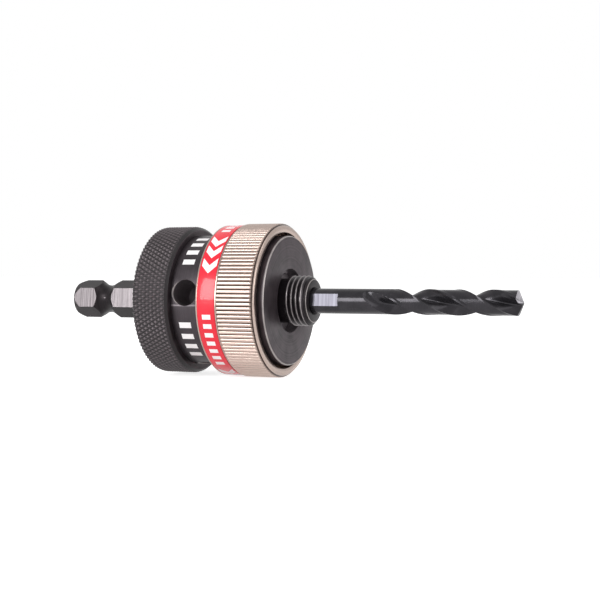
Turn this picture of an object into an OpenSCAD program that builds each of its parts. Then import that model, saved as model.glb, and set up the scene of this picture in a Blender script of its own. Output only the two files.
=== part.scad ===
// Quick-change hole saw arbor with a pilot drill.
// A hex shank drives a spindle that carries a knurled hold collar. A saw screws onto the
// threaded nose until it seats on the pressure plate. Turning the release collar runs it back
// along its lead thread, and the plate goes with it, so the saw spins off by hand.
// The axis is X, the drill points along +X, +Z is up, and x = 0 is the plate's seat face.

/* [Hex shank] */
// Distance across the flats of the hex
shank_flats = 8.73; // [7.9:0.01:9.2]
// Length of the hex behind the spindle's flange
shank_length = 27.6; // [24:0.1:40]
// Length of the chamfer at the hex's free end
shank_end_chamfer = 1.7; // [0.8:0.1:2.5]
// Distance from the free end to the middle of the detent groove
groove_from_end = 9.3; // [8:0.1:12]
// Depth of the detent groove below the flats
groove_depth = 0.74; // [0.4:0.01:0.9]
// Radius of the detent groove's hollow
groove_radius = 4; // [3.2:0.1:4.5]
// Angle of the near flat above the horizontal
shank_angle = 5.7; // [0:0.1:30]

/* [Spindle] */
// Diameter of the ground core that the collars and the plate sit on
core_d = 16.1; // [15.6:0.1:16.6]
// Diameter of the flange that the hold collar bears against
flange_d = 21; // [19:0.1:24]
// Thickness of that flange
flange_thickness = 2.4; // [1.8:0.1:3]
// How far the flange lies inside the hold collar's rear face
flange_recess = 0.9; // [0.4:0.1:1.5]
// Distance from the seat face back to the front of the core
core_setback = 3; // [2.6:0.1:3.4]

/* [Saw thread] */
// Outside diameter of the saw's thread
thread_d = 12.7; // [12:0.1:13]
// Pitch of the thread
thread_pitch = 1.27; // [1:0.01:1.5]
// Height of the thread above its root
thread_depth = 0.72; // [0.5:0.01:0.8]
// How far the nose stands out of the seat face
nose_length = 6.55; // [5.5:0.05:9]
// Depth of the chamfer on the nose's mouth and on its lead-in
nose_chamfer = 0.9; // [0.5:0.05:1]

/* [Hold collar] */
// Diameter over the diamond knurl
grip_d = 38.1; // [36.5:0.1:42]
// Width of the knurled head
grip_width = 9.9; // [8:0.1:14]
// Rounding of the head's rear edge
grip_round = 0.7; // [0.4:0.1:1.2]
// Chamfer of the head's front edge
grip_chamfer = 0.85; // [0.3:0.05:1.2]
// Spacing of the knurl's diamonds round the head
knurl_pitch = 1.2; // [1.1:0.05:2]
// Height of the knurl's diamonds
knurl_height = 0.35; // [0.2:0.05:0.5]
// Wall of the release collar's skirt, which runs on the smooth band
skirt_wall = 2.9; // [2.4:0.05:3.4]
// Width of the relief groove at the foot of the head
relief_width = 0.4; // [0.2:0.1:0.8]
// Depth of the relief groove
relief_depth = 0.4; // [0.2:0.1:0.8]
// Length of the band that shows between the two collars
band_gap = 8.3; // [8:0.1:14]
// Diameter of the bar holes in the band
bar_hole_d = 6.3; // [5:0.1:6.5]
// Diameter of the holes' countersinks
bar_hole_mouth_d = 7.2; // [6.6:0.1:7.4]
// Distance from the release collar's rear face to the middle of the bar holes
bar_hole_from_collar = 4.35; // [3.6:0.05:8]
// Depth of the bar holes
bar_hole_depth = 5.2; // [4:0.1:5.2]
// Number of bar holes
bar_holes = 4; // [3:1:6]
// Angle of the near hole above the horizontal
bar_hole_angle = 7.4; // [0:0.1:30]

/* [Release collar] */
// Diameter over the straight knurl
collar_d = 39.2; // [38.6:0.1:42]
// Length of the collar
collar_length = 15.8; // [15.4:0.1:20]
// Width of the plain lip behind the coloured band
lip_width = 0.5; // [0.4:0.1:0.8]
// Width of the coloured band
label_width = 4.8; // [4:0.1:5.2]
// Thickness of the coloured band
label_thickness = 0.25; // [0.15:0.05:0.3]
// Width of the groove between the band and the knurl
seam_width = 0.3; // [0.2:0.1:0.5]
// Number of ridges in the straight knurl
ridges = 118; // [90:1:130]
// Height of the ridges
ridge_height = 0.35; // [0.2:0.05:0.45]
// How far the knurl stands above the lip and the coloured band
knurl_step = 0.3; // [0.1:0.05:0.4]
// Width of the chamfer round the front rim
rim_chamfer = 0.55; // [0.3:0.05:0.8]
// Wall of the rim round the recess that the plate sits in
rim_wall = 2.35; // [1.8:0.05:2.8]
// Thickness of the collar's inner web
web_thickness = 2.5; // [2:0.1:3]
// Turn of the collar from hold to release
release_turn = 90; // [45:1:120]
// Travel of the collar and the plate along the axis over that turn
release_travel = 1.5; // [0.5:0.1:2]

/* [Pressure plate] */
// Gap between the plate and the rim's wall
plate_gap = 0.8; // [0.3:0.05:1.2]
// Thickness of the plate
plate_thickness = 3.5; // [3:0.1:4]
// How far the plate stands out of the collar's rim
plate_stand = 1.4; // [0.8:0.1:2]
// Chamfer round the plate's front edge
plate_chamfer = 0.3; // [0.1:0.05:0.6]
// Wall of the plate's hub
hub_wall = 1.65; // [1.4:0.05:2]
// Width of the two lugs that keep the plate from turning
lug_width = 3; // [2:0.1:4]
// How far the lugs stand in from the bore
lug_height = 1; // [0.6:0.1:1.2]

/* [Thrust bearing] */
// Diameter of the balls
ball_d = 2.38; // [2:0.01:2.6]
// Number of balls
balls = 16; // [12:1:20]
// Depth of the ball tracks
track_depth = 0.3; // [0.2:0.05:0.4]
// Thickness of the race behind the balls
race_thickness = 1.2; // [1:0.1:1.5]

/* [Pilot drill] */
// Diameter of the drill
drill_d = 6.35; // [6:0.01:6.4]
// Length of the drill
drill_length = 88.3; // [82:0.1:110]
// Distance from the seat face to the tip
drill_reach = 60.3; // [54:0.1:80]
// Depth of the flat that the set screw bears on
flat_depth = 0.39; // [0.2:0.01:0.6]
// Distance from the seat face to the end of that flat
flat_end = 14; // [10:0.1:18]
// Distance from the seat face to the start of the flutes
flute_start = 20.5; // [19:0.1:26]
// Length over which the flutes run out
flute_runout = 7; // [4:0.1:10]
// Length of one turn of the flutes
flute_lead = 32; // [26:0.1:40]
// Core of the drill between the flutes, as a share of its diameter
drill_web = 0.24; // [0.18:0.01:0.35]
// Angle of the point
point_angle = 135; // [118:1:140]
// Diameter of the set screw
set_screw_d = 5; // [4:0.1:5.2]
// Distance across the flats of the set screw's socket
set_screw_socket = 2.5; // [2:0.1:2.5]

/* [Small parts] */
// Diameter of the two dowels between the spindle and the hold collar
dowel_d = 3; // [2:0.1:3.5]
// Length of the dowels
dowel_length = 8; // [5:0.1:10]
// Thickness of the retaining rings
ring_thickness = 1.1; // [0.8:0.1:1.3]
// Depth of the retaining rings' grooves
ring_groove_depth = 0.55; // [0.4:0.05:0.7]
// Diameter of the stop pin
stop_pin_d = 2.5; // [2:0.1:2.6]
// How far the stop pin stands out of the band
stop_pin_stand = 1; // [0.6:0.05:1.1]
// Thickness of the dust seal's cord
seal_d = 1.4; // [1:0.1:1.6]

/* [Hidden] */
$fn = 96;

// Clearances: a running fit, a seated fit, and the gap between faces that must not meet
running = 0.05;
seated = 0.01;
face_gap = 0.2;
eps = 0.1;

// Places along the axis, from the seat face back
rim_x = -plate_stand;
collar_back = rim_x - collar_length;
grip_front = collar_back - band_gap;
grip_back = grip_front - grip_width;
flange_back = grip_back + flange_recess;
shank_end = flange_back - shank_length;
band_front = grip_front + relief_width;
bar_hole_x = collar_back - bar_hole_from_collar;
ball_sink = ball_d / 2 - track_depth;
ball_x = -plate_thickness - ball_sink;
race_front = ball_x - ball_sink;
web_front = race_front - race_thickness;
web_back = web_front - web_thickness;
hub_ring_front = web_back - face_gap / 2;
hub_back = hub_ring_front - ring_thickness - ring_groove_depth * 1.6;
sleeve_front = web_back - release_travel - face_gap;
collar_ring_front = hub_back - release_travel - 2 * face_gap;
sleeve_floor = collar_ring_front - ring_thickness;
stop_pin_x = sleeve_front - stop_pin_d / 2 - 0.9;
seal_x = collar_back + seal_d / 2 + 0.5;
label_back = collar_back + lip_width;
label_front = label_back + label_width;
knurl_back = label_front + seam_width;

// Radii
core_r = core_d / 2;
collar_r = collar_d / 2;
lip_r = collar_r - knurl_step;
band_r = collar_r - skirt_wall;
recess_r = collar_r - rim_wall;
plate_r = recess_r - plate_gap;
grip_r = grip_d / 2;
drill_r = drill_d / 2;
plate_bore_r = core_r + running;
hub_r = plate_bore_r + hub_wall;
web_bore_r = hub_r + running;
hub_ring_r = hub_r + 2;
collar_ring_r = core_r + 3;
sleeve_bore_r = max(hub_ring_r, collar_ring_r) + 0.7;
flat_r = drill_r - flat_depth;
drill_back = drill_reach - drill_length;
stop_pin_tip_r = band_r + stop_pin_stand;
race_inner_r = web_bore_r + face_gap / 2;
race_outer_r = plate_r - 3 * face_gap;
ball_circle_r = (race_inner_r + race_outer_r) / 2;
lug_root = core_r - lug_height;
lug_front = -2;
lug_back = -plate_thickness - 4.5;

// A piece turned about the axis, from an outline of [radius, x] points
module turned(outline) {
    rotate([0, 90, 0]) rotate_extrude() polygon(outline);
}

// A plain round bar along the axis
module bar(r, from, to) {
    translate([from, 0, 0]) rotate([0, 90, 0]) cylinder(r = r, h = to - from);
}

// What is drawn along +X is turned to point out from the axis, at an angle above the near side
module outward(angle, x) {
    translate([x, 0, 0]) rotate([-angle, 0, 0]) rotate([0, 0, -90]) children();
}

// A round hole or pin that points out from the axis
module spoke(r, from, to) {
    translate([from, 0, 0]) rotate([0, 90, 0]) cylinder(r = r, h = to - from);
}

// Faces listed anticlockwise as seen from outside, turned to the order that a polyhedron takes
function clockwise(faces) = [for (face = faces) [face[2], face[1], face[0]]];

// Shank and spindle

module hex_bar(flats, from, to) {
    translate([from, 0, 0]) rotate([-shank_angle, 0, 0]) rotate([0, 90, 0])
        cylinder(r = flats / sqrt(3), h = to - from, $fn = 6);
}

module hex_shank() {
    corner_r = shank_flats / sqrt(3);
    end_r = shank_flats / 2 * 0.962;
    groove_x = shank_end + groove_from_end;
    difference() {
        intersection() {
            hex_bar(shank_flats, shank_end, flange_back + eps);
            turned([
                [0, shank_end],
                [end_r, shank_end],
                [corner_r + 0.01, shank_end + shank_end_chamfer],
                [corner_r + 0.01, flange_back + 2 * eps],
                [0, flange_back + 2 * eps]
            ]);
        }
        translate([groove_x, 0, 0]) rotate([0, 90, 0]) rotate_extrude()
            translate([shank_flats / 2 - groove_depth + groove_radius, 0])
                circle(r = groove_radius);
    }
}

// The thread's ridges are closed rings, each with a flat crest
module thread_groove(x) {
    root_r = thread_d / 2 - thread_depth;
    half = thread_pitch * 0.44;
    turned([
        [thread_d / 2 + eps, x - half * 1.14],
        [root_r, x - thread_pitch * 0.09],
        [root_r, x + thread_pitch * 0.09],
        [thread_d / 2 + eps, x + half * 1.14]
    ]);
}

module threaded_nose() {
    root_r = thread_d / 2 - thread_depth;
    front_groove_x = nose_length - nose_chamfer - 0.77 * thread_pitch;
    turns = floor((front_groove_x + core_setback) / thread_pitch) - 1;
    difference() {
        turned([
            [0, -core_setback - eps],
            [root_r, -core_setback - eps],
            [root_r, -core_setback + 0.4 * thread_pitch],
            [thread_d / 2, -core_setback + 0.85 * thread_pitch],
            [thread_d / 2, nose_length - nose_chamfer],
            [thread_d / 2 - nose_chamfer, nose_length],
            [0, nose_length]
        ]);
        for (turn = [0:turns - 1])
            thread_groove(front_groove_x - thread_pitch * turn);
    }
}

module spindle() {
    slot_back = lug_back - release_travel - face_gap;
    color([0.22, 0.21, 0.21]) difference() {
        union() {
            hex_shank();
            turned([
                [0, flange_back],
                [flange_d / 2 - 0.5, flange_back],
                [flange_d / 2, flange_back + 0.5],
                [flange_d / 2, flange_back + flange_thickness],
                [core_r, flange_back + flange_thickness],
                [core_r, -core_setback - 0.4],
                [core_r - 0.4, -core_setback],
                [0, -core_setback]
            ]);
            threaded_nose();
        }
        bar(drill_r + running / 2, drill_back - face_gap, nose_length + eps);
        turned([
            [0, drill_back - face_gap - drill_r / 2],
            [drill_r + running / 2, drill_back - face_gap],
            [0, drill_back - face_gap + eps]
        ]);
        turned([
            [0, nose_length - nose_chamfer - drill_r],
            [drill_r + nose_chamfer + eps, nose_length + eps],
            [0, nose_length + eps]
        ]);
        outward(bar_hole_angle, bar_hole_x) spoke(set_screw_d / 2 + seated, 0, core_r + 1);
        for (side = [0, 180])
            lug_bar(bar_hole_angle + 90 + side, lug_width + 2 * running, slot_back, eps,
                lug_root - running, core_r + 1);
        dowel_holes();
        turned([
            [core_r - ring_groove_depth, sleeve_floor],
            [core_r + eps, sleeve_floor],
            [core_r + eps, collar_ring_front + 0.05],
            [core_r - ring_groove_depth, collar_ring_front + 0.05]
        ]);
    }
}

// A straight bar along the axis between two radii: a lug, its slot, or a ground flat
module lug_bar(angle, width, from, to, root, top) {
    translate([from, 0, 0]) rotate([-angle, 0, 0]) translate([0, -top, -width / 2])
        cube([to - from, top - root, width]);
}

// Hold collar

// Diamonds of a cross knurl: a lattice of peaks and hollows, each cell folded along its valley
module diamond_knurl(r, height, pitch, from, to, inner_r) {
    count = 2 * round(2 * PI * r / pitch);
    rows = 2 * round((to - from) / (pitch * sqrt(3))) + 1;
    step = (to - from) / rows;
    function lattice(row, k) = let (
        peak = (row + k) % 2 == 0,
        edge = row == 0 || row == rows,
        radius = edge ? r - height * 0.7 : (peak ? r : r - height),
        a = 360 * k / count
    ) [from + row * step, radius * cos(a), radius * sin(a)];
    function inner(row, k) = [
        row == 0 ? from : to, inner_r * cos(360 * k / count), inner_r * sin(360 * k / count)
    ];
    function at(row, k) = row * count + k % count;
    points = concat(
        [for (row = [0:rows]) for (k = [0:count - 1]) lattice(row, k)],
        [for (k = [0:count - 1]) inner(0, k)],
        [for (k = [0:count - 1]) inner(1, k)]
    );
    skin = [
        for (row = [0:rows - 1]) for (k = [0:count - 1])
            each ((row + k) % 2 == 0
                ? [
                    [at(row, k), at(row, k + 1), at(row + 1, k)],
                    [at(row, k + 1), at(row + 1, k + 1), at(row + 1, k)]
                ]
                : [
                    [at(row, k), at(row, k + 1), at(row + 1, k + 1)],
                    [at(row, k), at(row + 1, k + 1), at(row + 1, k)]
                ])
    ];
    back = rows + 1;
    front = rows + 2;
    ends = [
        for (k = [0:count - 1])
            each [
                [at(back, k), at(back, k + 1), at(0, k + 1)],
                [at(back, k), at(0, k + 1), at(0, k)],
                [at(rows, k), at(rows, k + 1), at(front, k + 1)],
                [at(rows, k), at(front, k + 1), at(front, k)],
                [at(front, k), at(front, k + 1), at(back, k + 1)],
                [at(front, k), at(back, k + 1), at(back, k)]
            ]
    ];
    polyhedron(points = points, faces = clockwise(concat(skin, ends)));
}

module dowel_holes() {
    for (side = [0, 180])
        outward(bar_hole_angle + 45 + side, 0) translate([core_r, 0, 0]) rotate([0, 0, 90])
            bar(dowel_d / 2 + seated, sleeve_floor - dowel_length, sleeve_floor + eps);
}

module hold_collar() {
    root_r = grip_r - knurl_height - 0.08;
    knurl_from = grip_back + grip_round;
    knurl_to = grip_front - grip_chamfer;
    round_steps = 6;
    color([0.26, 0.24, 0.24]) difference() {
        union() {
            turned(concat(
                [[core_r + seated, grip_back]],
                [
                    for (i = [0:round_steps])
                        let (a = 90 * i / round_steps)
                            [
                                root_r - grip_round * (1 - sin(a)),
                                grip_back + grip_round * (1 - cos(a))
                            ]
                ],
                [
                    [root_r, knurl_to],
                    [root_r - grip_chamfer, grip_front],
                    [band_r - relief_depth, grip_front],
                    [band_r - relief_depth, band_front],
                    [band_r, band_front],
                    [band_r, sleeve_front - 0.3],
                    [band_r - 0.3, sleeve_front],
                    [core_r + seated, sleeve_front]
                ]
            ));
            diamond_knurl(grip_r, knurl_height, knurl_pitch, knurl_from, knurl_to, root_r - 1);
        }
        bar(flange_d / 2 + seated, grip_back - eps, flange_back + flange_thickness);
        bar(sleeve_bore_r, sleeve_floor, sleeve_front + eps);
        for (i = [0:bar_holes - 1])
            outward(bar_hole_angle + 360 * i / bar_holes, bar_hole_x) bar_hole(i == 0);
        outward(stop_pin_angle(), stop_pin_x)
            spoke(stop_pin_d / 2 + seated, sleeve_bore_r - 1, band_r + 1);
        dowel_holes();
        turned([
            [band_r - seal_d, seal_x - seal_d / 2 - 0.1],
            [band_r + eps, seal_x - seal_d / 2 - 0.1],
            [band_r + eps, seal_x + seal_d / 2 + 0.1],
            [band_r - seal_d, seal_x + seal_d / 2 + 0.1]
        ]);
    }
}

// Each bar hole stops in the wall, and the near one goes on to the set screw
module bar_hole(over_screw) {
    mouth = (bar_hole_mouth_d - bar_hole_d) / 2;
    spoke(bar_hole_d / 2, band_r - bar_hole_depth, band_r + 1);
    if (over_screw)
        spoke(set_screw_d / 2 + running, core_r - 1, band_r);
    translate([band_r - mouth, 0, 0]) rotate([0, 90, 0])
        cylinder(r1 = bar_hole_d / 2, r2 = bar_hole_d / 2 + mouth + 0.5, h = mouth + 0.5);
}

module collar_dowels() {
    color([0.7, 0.7, 0.7]) for (side = [0, 180])
        outward(bar_hole_angle + 45 + side, 0) translate([core_r, 0, 0]) rotate([0, 0, 90])
            bar(dowel_d / 2, sleeve_floor - dowel_length, sleeve_floor);
}

// An external retaining ring with a gap and an eye at each side of it
module retaining_ring(inner_r, outer_r, from, to) {
    eye_r = 1.25;
    eye_hole_r = 0.6;
    eye_at = outer_r - 0.9;
    gap = 12;
    difference() {
        union() {
            difference() {
                bar(outer_r, from, to);
                bar(inner_r, from - eps, to + eps);
                translate([from - eps, -gap_width(outer_r, gap) / 2, 0])
                    cube([to - from + 2 * eps, gap_width(outer_r, gap), outer_r + eps]);
            }
            for (side = [-1, 1])
                rotate([side * (gap + 5), 0, 0]) translate([0, 0, eye_at]) bar(eye_r, from, to);
        }
        for (side = [-1, 1])
            rotate([side * (gap + 5), 0, 0]) translate([0, 0, eye_at])
                bar(eye_hole_r, from - eps, to + eps);
    }
}

function gap_width(r, half_angle) = 2 * r * sin(half_angle);

module collar_ring() {
    color([0.3, 0.3, 0.32]) retaining_ring(core_r - ring_groove_depth + seated,
        collar_ring_r, sleeve_floor, collar_ring_front);
}

// Pilot drill and its screw

module set_screw() {
    color([0.25, 0.25, 0.26]) outward(bar_hole_angle, bar_hole_x) difference() {
        spoke(set_screw_d / 2, flat_r, core_r - 0.2);
        translate([core_r - 0.2 - set_screw_d / 2, 0, 0]) rotate([0, 90, 0])
            cylinder(r = set_screw_socket / sqrt(3), h = set_screw_d, $fn = 6);
    }
}

// Radius of the drill's section at an angle from the middle of a flute, at full depth.
// The lip falls away steeply, the heel rises slowly, and the land is relieved behind its margin.
function drill_section(u) = let (
    half_flute = 48,
    deepest = 0.45,
    t = (u + half_flute) / (2 * half_flute),
    rise = t < deepest ? pow(1 - t / deepest, 3) : pow((t - deepest) / (1 - deepest), 2)
) t <= 1
    ? drill_r * (drill_web + (1 - drill_web) * min(rise, 1) * (t < 0.9 ? 1 : 0.96))
    : drill_r * (u < 122.5 ? 0.96 : 1);

// Angles of the points of half a section, over 180 degrees from lip to lip
function half_section() = concat(
    [for (i = [0:9]) -48 + 9.6 * i],
    [48, 66, 85, 104, 122, 123.5]
);

module fluted_body() {
    half = half_section();
    per_ring = 2 * len(half);
    rings = 44;
    start = flute_start - 1.5;
    root = drill_r - 0.02;
    relief = 0.3;
    neck_x = 32.65;
    function angle(k) = half[k % len(half)] + (k < len(half) ? 0 : 180);
    function full(k) = drill_section(half[k % len(half)]);
    function end_x(k) = drill_reach - full(k) / tan(point_angle / 2)
        - relief * (132 - half[k % len(half)]) / 180 * full(k) / drill_r;
    function fade(x) = let (s = min(1, max(0, (x - flute_start) / flute_runout)))
        s * (2 - s);
    function vertex(ring, k) = let (
        x = start + (end_x(k) - start) * ring / rings,
        radius = root - (root - min(root, full(k))) * fade(x),
        a = angle(k) + 90 + 360 * (x - neck_x) / flute_lead
    ) [x, radius * cos(a), radius * sin(a)];
    function at(ring, k) = ring * per_ring + k % per_ring;
    points = concat(
        [for (ring = [0:rings]) for (k = [0:per_ring - 1]) vertex(ring, k)],
        [[start, 0, 0], [drill_reach, 0, 0]]
    );
    last = (rings + 1) * per_ring;
    faces = concat(
        [
            for (ring = [0:rings - 1]) for (k = [0:per_ring - 1])
                each [
                    [at(ring, k), at(ring, k + 1), at(ring + 1, k + 1)],
                    [at(ring, k), at(ring + 1, k + 1), at(ring + 1, k)]
                ]
        ],
        [for (k = [0:per_ring - 1]) [last, at(0, k + 1), at(0, k)]],
        [for (k = [0:per_ring - 1]) [last + 1, at(rings, k), at(rings, k + 1)]]
    );
    polyhedron(points = points, faces = clockwise(faces));
}

module pilot_drill() {
    color([0.2, 0.2, 0.21]) union() {
        difference() {
            turned([
                [0, drill_back],
                [drill_r - 0.5, drill_back],
                [drill_r, drill_back + 0.5],
                [drill_r, flute_start - 0.2],
                [0, flute_start - 0.2]
            ]);
            lug_bar(bar_hole_angle, 2 * drill_r, drill_back - eps, flat_end, flat_r, drill_d);
        }
        fluted_body();
    }
}

// Small parts of the hold collar

function stop_pin_angle() = bar_hole_angle + 45;

module stop_pin() {
    color([0.7, 0.7, 0.7]) outward(stop_pin_angle(), stop_pin_x)
        spoke(stop_pin_d / 2, sleeve_bore_r + 0.2, stop_pin_tip_r);
}

module dust_seal() {
    color([0.08, 0.08, 0.08]) translate([seal_x, 0, 0]) rotate([0, 90, 0]) rotate_extrude()
        translate([band_r - seal_d / 2 - seated, 0]) circle(r = seal_d / 2 - seated);
}

// Pressure plate and its bearing

module ball_track(r) {
    translate([ball_x, 0, 0]) rotate([0, 90, 0]) rotate_extrude()
        translate([ball_circle_r, 0]) circle(r = r);
}

module pressure_plate() {
    color([0.29, 0.27, 0.28]) union() {
        difference() {
            turned([
                [0, 0],
                [plate_r - plate_chamfer, 0],
                [plate_r, -plate_chamfer],
                [plate_r, -plate_thickness],
                [hub_r, -plate_thickness],
                [hub_r, hub_back],
                [0, hub_back]
            ]);
            bar(plate_bore_r, hub_back - eps, eps);
            ball_track(ball_d / 2 + running);
            turned([
                [hub_r - ring_groove_depth, hub_ring_front - ring_thickness],
                [hub_r + eps, hub_ring_front - ring_thickness],
                [hub_r + eps, hub_ring_front],
                [hub_r - ring_groove_depth, hub_ring_front]
            ]);
        }
        for (side = [0, 180])
            lug_bar(bar_hole_angle + 90 + side, lug_width, lug_back, lug_front, lug_root,
                plate_bore_r + 0.5);
    }
}

module plate_ring() {
    color([0.3, 0.3, 0.32]) retaining_ring(hub_r - ring_groove_depth + seated, hub_ring_r,
        hub_ring_front - ring_thickness, hub_ring_front);
}

module thrust_balls() {
    color([0.75, 0.75, 0.77]) for (i = [0:balls - 1])
        rotate([360 * i / balls, 0, 0]) translate([ball_x, 0, ball_circle_r])
            sphere(d = ball_d);
}

module ball_cage() {
    half = ball_sink - 0.3;
    color([0.72, 0.55, 0.25]) difference() {
        bar(race_outer_r - face_gap, ball_x - half, ball_x + half);
        bar(race_inner_r + face_gap, ball_x - half - eps, ball_x + half + eps);
        for (i = [0:balls - 1])
            rotate([360 * i / balls, 0, 0]) translate([0, 0, ball_circle_r])
                bar(ball_d / 2 + running, ball_x - half - eps, ball_x + half + eps);
    }
}

// Release collar

module ridge_outline() {
    root = collar_r - ridge_height;
    pitch = 360 / ridges;
    polygon([
        for (i = [0:ridges - 1])
            each [
                for (corner = [[0.12, root], [0.3, collar_r], [0.7, collar_r], [0.88, root]])
                    corner[1] * [cos((i + corner[0]) * pitch), sin((i + corner[0]) * pitch)]
            ]
    ]);
}

module straight_knurl() {
    root = collar_r - ridge_height;
    intersection() {
        translate([knurl_back, 0, 0]) rotate([0, 90, 0])
            linear_extrude(height = rim_x - knurl_back) ridge_outline();
        turned([
            [root - 1, knurl_back],
            [root, knurl_back],
            [collar_r + 0.05, knurl_back + ridge_height],
            [collar_r + 0.05, rim_x - rim_chamfer],
            [collar_r - rim_chamfer, rim_x],
            [root - 1, rim_x]
        ]);
    }
}

// Room for the stop pin: it sweeps the collar's turn and travel
module stop_slot() {
    half = stop_pin_d / 2 + face_gap / 2;
    half_angle = asin(half / band_r);
    outward(stop_pin_angle(), stop_pin_x) rotate([0, 0, 90]) rotate([0, 90, 0])
        translate([0, 0, -half])
            rotate([0, 0, -90 - release_turn - half_angle]) sector(stop_pin_tip_r + face_gap,
                release_turn + 2 * half_angle, 2 * half + release_travel);
}

module sector(r, angle, height) {
    rotate_extrude(angle = angle) square([r, height]);
}

module release_collar() {
    root = collar_r - ridge_height;
    color([0.78, 0.72, 0.68]) difference() {
        union() {
            turned([
                [band_r + running, collar_back],
                [lip_r - 0.2, collar_back],
                [lip_r, collar_back + 0.15],
                [lip_r, label_back],
                [lip_r - label_thickness, label_back],
                [lip_r - label_thickness, label_front],
                [root - 0.1, label_front],
                [root - 0.1, rim_x - rim_chamfer],
                [min(root - 0.1, collar_r - rim_chamfer), rim_x],
                [recess_r, rim_x],
                [recess_r, web_front],
                [web_bore_r, web_front],
                [web_bore_r, web_back],
                [band_r + running, web_back]
            ]);
            straight_knurl();
        }
        stop_slot();
    }
}

module rear_race() {
    color([0.75, 0.75, 0.77]) difference() {
        bar(race_outer_r, web_front, race_front);
        bar(race_inner_r, web_front - eps, race_front + eps);
        ball_track(ball_d / 2 + running);
    }
}

module release_band() {
    color([0.85, 0.12, 0.16]) turned([
        [lip_r - label_thickness, label_back],
        [lip_r, label_back],
        [lip_r, label_front],
        [lip_r - label_thickness, label_front]
    ]);
}

spindle();
hold_collar();
collar_dowels();
collar_ring();
set_screw();
pilot_drill();
stop_pin();
dust_seal();
pressure_plate();
plate_ring();
thrust_balls();
ball_cage();
release_collar();
rear_race();
release_band();
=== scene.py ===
# %% [markdown]
# # A quick-change hole saw arbor
# The object is a turned and knurled tool holder: a hex shank, a black knurled hold collar, a
# nickel-plated release collar with a red band, a black seat plate, a threaded nose and a pilot
# drill. Nearly all of it is made on a lathe, so nearly all of it is built here from two kinds of
# mesh: an outline turned about the axis, and a radius that is a formula of angle and length.
# The solids that carry the sizes come first. Everything else is fitted to them.

# %% Load the frame
import math

import bmesh
import bpy
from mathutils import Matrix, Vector


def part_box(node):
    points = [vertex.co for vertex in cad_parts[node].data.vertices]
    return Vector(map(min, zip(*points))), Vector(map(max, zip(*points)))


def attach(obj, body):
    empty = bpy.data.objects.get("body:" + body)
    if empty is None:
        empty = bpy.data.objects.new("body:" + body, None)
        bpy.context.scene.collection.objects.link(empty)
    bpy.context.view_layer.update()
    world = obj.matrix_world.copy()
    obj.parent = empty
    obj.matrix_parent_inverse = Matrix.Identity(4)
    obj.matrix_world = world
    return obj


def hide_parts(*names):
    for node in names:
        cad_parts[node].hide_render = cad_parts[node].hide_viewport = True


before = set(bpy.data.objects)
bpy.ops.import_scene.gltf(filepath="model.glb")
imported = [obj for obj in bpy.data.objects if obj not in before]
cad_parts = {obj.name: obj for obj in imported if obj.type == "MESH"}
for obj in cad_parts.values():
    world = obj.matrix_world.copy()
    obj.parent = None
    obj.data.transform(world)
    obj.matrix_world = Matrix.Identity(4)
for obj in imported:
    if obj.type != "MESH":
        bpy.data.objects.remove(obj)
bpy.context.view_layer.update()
MM = 0.001

# %% [markdown]
# ## Sizes
# Each size is read from the solid that holds it, so the dressed piece can't drift from the part.
# A few that the boxes don't give, such as a bore or the height of a knurl, are written as real
# sizes.

# %% Sizes from the frame, in millimetres


def span(node, axis):
    """Lowest and highest coordinate of a node along an axis, in millimetres."""
    low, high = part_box(node)
    return low[axis] / MM, high[axis] / MM


shank_end, nose_face = span("spindle", 0)
grip_back, sleeve_front = span("hold_collar", 0)
collar_back, rim = span("release_collar", 0)
label_back, label_front = span("release_band", 0)
plate_back, seat = span("pressure_plate", 0)
drill_back, drill_tip = span("pilot_drill", 0)
grip_r = span("hold_collar", 2)[1]
collar_r = span("release_collar", 2)[1]
label_r = span("release_band", 2)[1]
plate_r = span("pressure_plate", 2)[1]
drill_r = 6.35 / 2
thread_r = 12.7 / 2
core_r = 16.1 / 2
band_r = 33.4 / 2
grip_width = 9.9
grip_front = grip_back + grip_width
hole_angle = 7.4
hole_x = sum(span("set_screw", 0)) / 2
hole_r = 3.32
mouth_r = 3.62
grip_knurl = 0.34
ridge_height = 0.36
thread_depth = 0.72
print(f"length {drill_tip - shank_end:.1f} mm, collar radius {collar_r:.2f} mm")

# %% [markdown]
# ## Helpers
# `piece` turns points and faces into an object that rides on a body. `wrap` skins a row of rings,
# which can have any radius at any angle, and `turned` spins an outline of (x, radius) points
# round the axis. Creases are marked by angle, so a small chamfer keeps its edge and a round
# stays smooth. `paint` gives some of a piece's faces another finish, by where they are.

# %% Helpers for meshes


def piece(name, points, faces, body, material, crease=35):
    """A mesh object in metres from points in millimetres, riding on a body."""
    mesh = bpy.data.meshes.new(name)
    mesh.from_pydata([[c * MM for c in p] for p in points], [], faces)
    bm = bmesh.new()
    bm.from_mesh(mesh)
    bmesh.ops.remove_doubles(bm, verts=bm.verts, dist=1e-7)
    bmesh.ops.recalc_face_normals(bm, faces=bm.faces)
    bm.to_mesh(mesh)
    bm.free()
    mesh.shade_smooth()
    mesh.set_sharp_from_angle(angle=math.radians(crease))
    obj = bpy.data.objects.new(name, mesh)
    bpy.context.scene.collection.objects.link(obj)
    mesh.materials.append(material)
    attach(obj, body)
    print(f"{name}: {len(mesh.polygons)} faces")
    return obj


def paint(obj, finishes, choose):
    """More finishes on a piece. choose(x, radius, face) gives 0 for its own, or 1 and up."""
    for finish in finishes:
        obj.data.materials.append(finish)
    for face in obj.data.polygons:
        x, y, z = (c / MM for c in face.center)
        face.material_index = choose(x, math.hypot(y, z), face)


def at_angle(radius, degrees):
    """(y, z) of a point at an angle above the near side, which faces -Y."""
    a = math.radians(degrees)
    return -radius * math.cos(a), radius * math.sin(a)


def circle(x, r, around):
    """A ring of points about the axis."""
    return [(x, *at_angle(r, 360 * k / around)) for k in range(around)]


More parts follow.
